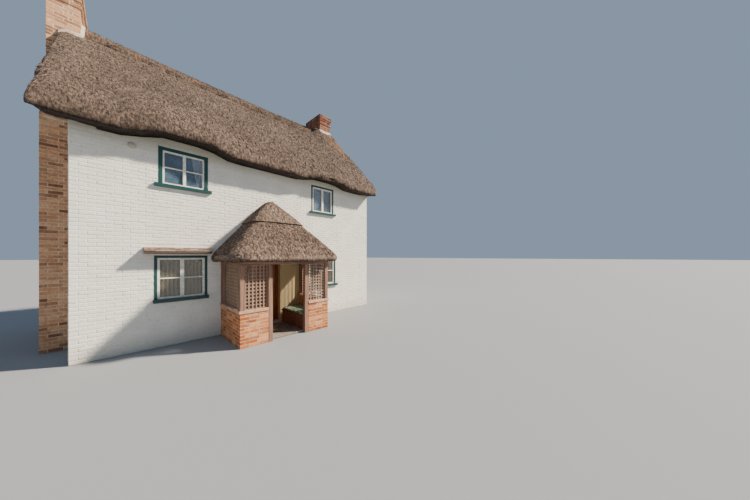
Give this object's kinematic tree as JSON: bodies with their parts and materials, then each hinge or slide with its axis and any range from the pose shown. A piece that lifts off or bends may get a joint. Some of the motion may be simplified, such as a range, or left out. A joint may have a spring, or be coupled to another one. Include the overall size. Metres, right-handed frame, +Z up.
{
  "type": "thatched cottage",
  "caption": "Two-storey painted-brick cottage with a swept thatched roof, two brick chimneys, casement windows and a hipped thatched porch with trellis sides and an opening front door.",
  "frame": {"origin": "on the ground, at the middle of the main rectangle of walls, on the underside of the ground floor", "axes": "+X runs along the front wall to the right as seen from the front, +Z is up, and the front with the porch faces -Y"},
  "size_m": [8.4332, 7.24, 8.31],
  "materials": {
    "painted_brick": "matte limewash-white masonry paint on brick",
    "orange_brick": "fired clay brick with pale mortar",
    "chimney_brick": "weathered red-brown clay brick",
    "thatch": "weathered straw and reed",
    "green_paint": "dark green gloss on timber",
    "white_paint": "white satin paint on timber",
    "window_glass": "clear float glass",
    "curtain_cloth": "plain woven cotton",
    "weathered_oak": "unpainted weathered oak",
    "door_oak": "varnished oak",
    "stone": "pale sawn stone",
    "floor_boards": "plain boards",
    "cushion_cloth": "green and white printed cotton",
    "clay_tile": "weathered clay tile",
    "brass": "satin brass"
  },
  "bodies": {
    "house": {"front_wall_lower_left": "painted_brick", "front_wall_lower_right": "painted_brick", "front_wall_upper_left": "painted_brick", "front_wall_upper_right": "painted_brick", "front_wall_over_door": "painted_brick", "rear_wall": "painted_brick", "left_gable_wall": "painted_brick", "right_gable_wall": "painted_brick", "ground_floor": "stone", "upper_floor": "floor_boards", "thatch_front": "thatch", "thatch_rear": "thatch", "thatch_ridge": "thatch", "thatch_ridge_end": "thatch", "left_chimney": "chimney_brick", "right_chimney": "chimney_brick", "door_frame": "door_oak", "door_threshold": "stone", "upper_left_window_frame": "green_paint", "upper_left_casements": "white_paint", "upper_left_glass": "window_glass", "upper_right_window_frame": "green_paint", "upper_right_casements": "white_paint", "upper_right_glass": "window_glass", "lower_left_window_frame": "green_paint", "lower_left_casements": "white_paint", "lower_left_glass": "window_glass", "lower_right_window_frame": "green_paint", "lower_right_casements": "white_paint", "lower_right_glass": "window_glass", "rear_upper_left_window": "green_paint", "rear_upper_right_window": "green_paint", "rear_lower_left_window": "green_paint", "rear_lower_right_window": "green_paint", "lower_left_curtain": "curtain_cloth", "upper_left_curtain": "curtain_cloth", "upper_right_curtain": "curtain_cloth", "window_hood": "clay_tile", "wall_light": "white_paint", "porch_floor": "stone", "porch_wall_left": "orange_brick", "porch_wall_right": "orange_brick", "porch_coping_left": "stone", "porch_coping_right": "stone", "porch_corner_post_left": "weathered_oak", "porch_corner_post_right": "weathered_oak", "porch_inner_post_left": "weathered_oak", "porch_inner_post_right": "weathered_oak", "porch_wall_plate": "weathered_oak", "porch_lattice_front_left": "weathered_oak", "porch_lattice_front_right": "weathered_oak", "porch_lattice_left": "weathered_oak", "porch_lattice_right": "weathered_oak", "porch_thatch": "thatch", "porch_thatch_ridge": "thatch", "porch_bench": "floor_boards", "bench_cushion": "cushion_cloth"},
    "front_door": {"front_door": "door_oak", "door_knob": "brass"}
  },
  "joints": [
    {"name": "front_door_swing", "type": "hinge", "parent": "house", "child": "front_door", "pos_m": [-0.7325, -2.275, 0.097], "axis": [0, 0, 1], "range_deg": [0, 90]}
  ]
}
